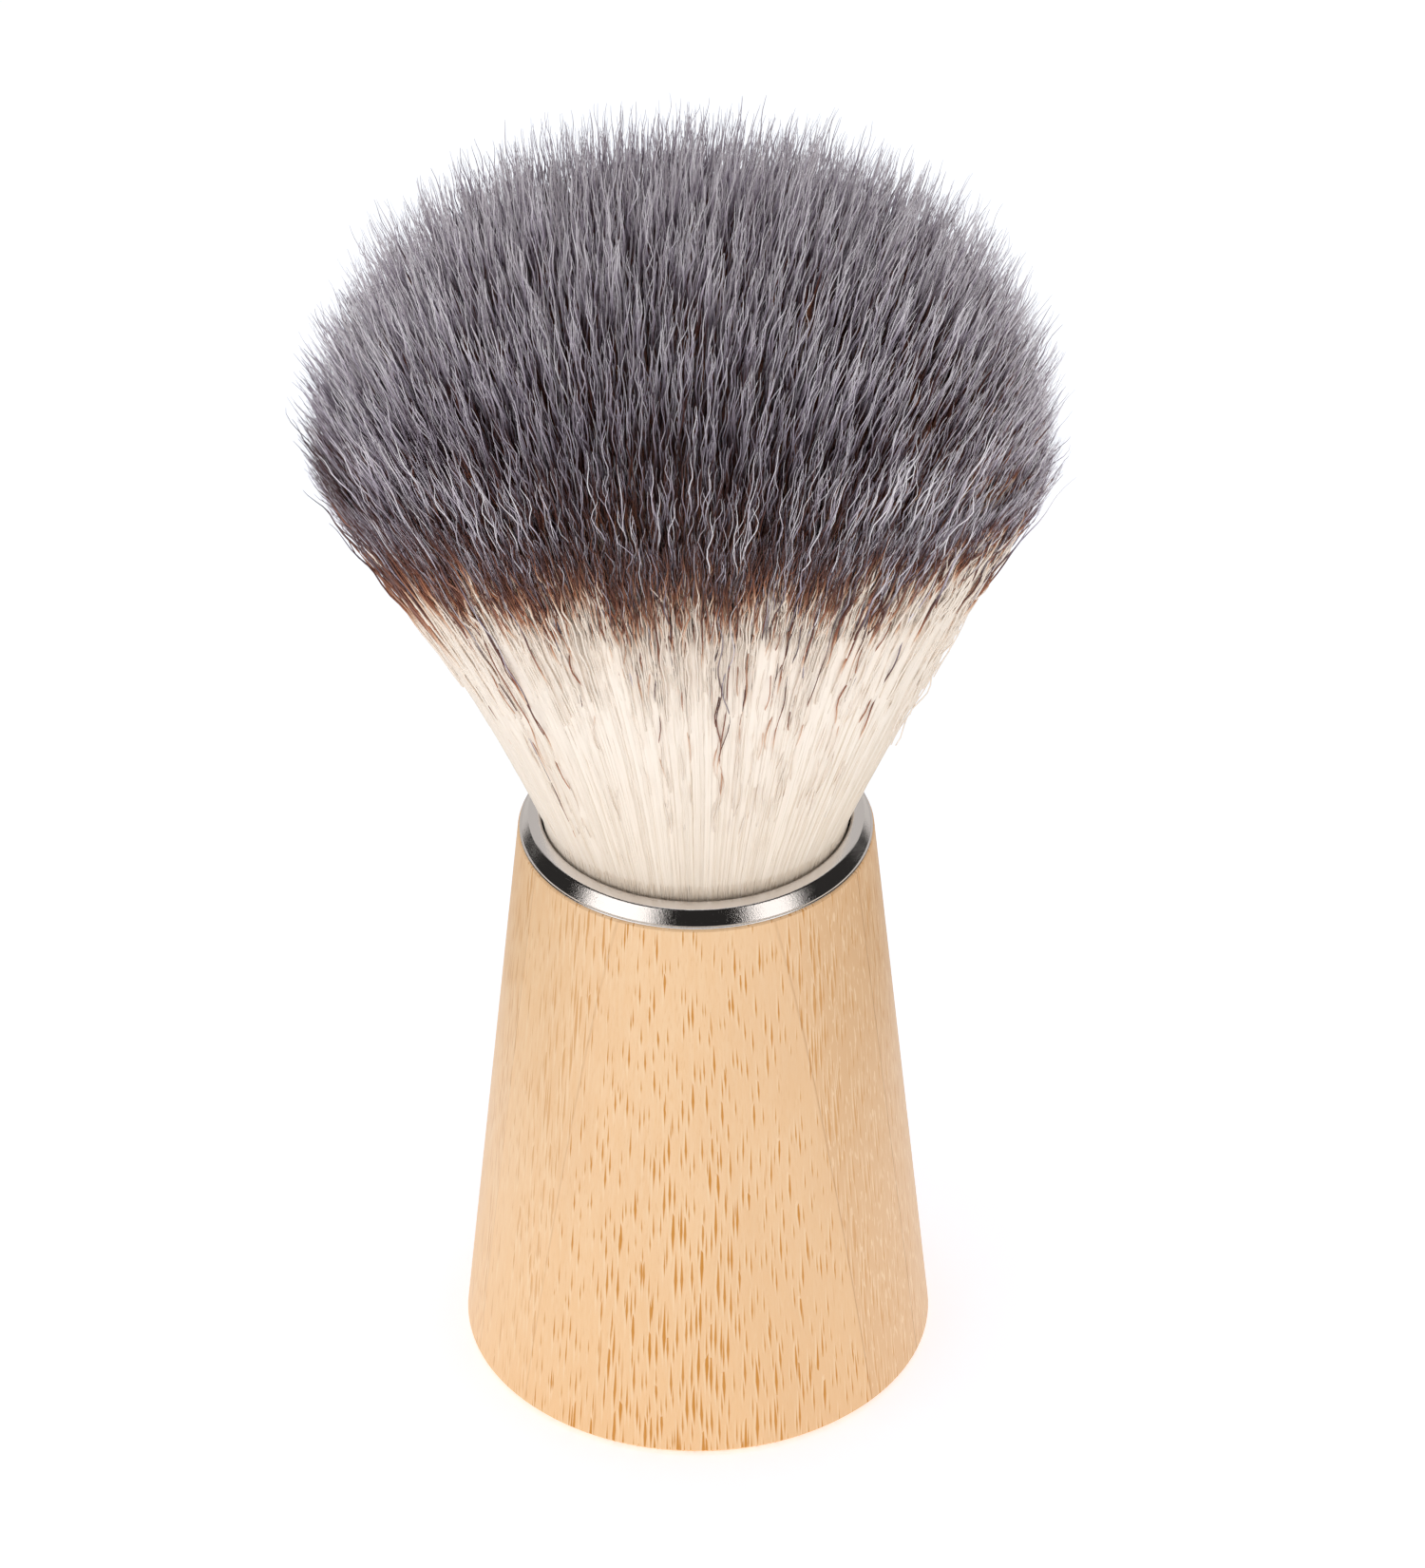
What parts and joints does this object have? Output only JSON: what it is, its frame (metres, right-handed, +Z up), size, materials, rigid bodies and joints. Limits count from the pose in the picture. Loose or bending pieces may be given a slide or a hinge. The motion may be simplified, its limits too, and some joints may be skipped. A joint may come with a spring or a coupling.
{
  "type": "shaving brush",
  "caption": "Free-standing shaving brush: tapered laminated bamboo handle, polished metal collar, and a fanned knot of synthetic fibre, cream below and grey at the tips.",
  "frame": {"origin": "centre of the flat base, on the surface that the brush stands on", "axes": "+Z up the axis from the base to the crown of the bristles; the handle's glued strips are stacked along Y with -Y at the front; the fan is widest along X"},
  "size_m": [0.0588, 0.0466, 0.1111],
  "materials": {
    "bamboo": "satin lacquered laminated bamboo",
    "collar": "polished plating",
    "resin": "cast amber epoxy",
    "fibre": "crimped synthetic fibre, cream below, brown to grey above"
  },
  "bodies": {
    "root": {"bamboo_strip_1": "bamboo", "bamboo_strip_2": "bamboo", "bamboo_strip_3": "bamboo", "bamboo_strip_4": "bamboo", "bamboo_strip_5": "bamboo", "bamboo_strip_6": "bamboo", "collar": "collar", "knot_glue": "resin", "knot_root": "resin", "bristles": "fibre"}
  },
  "joints": []
}
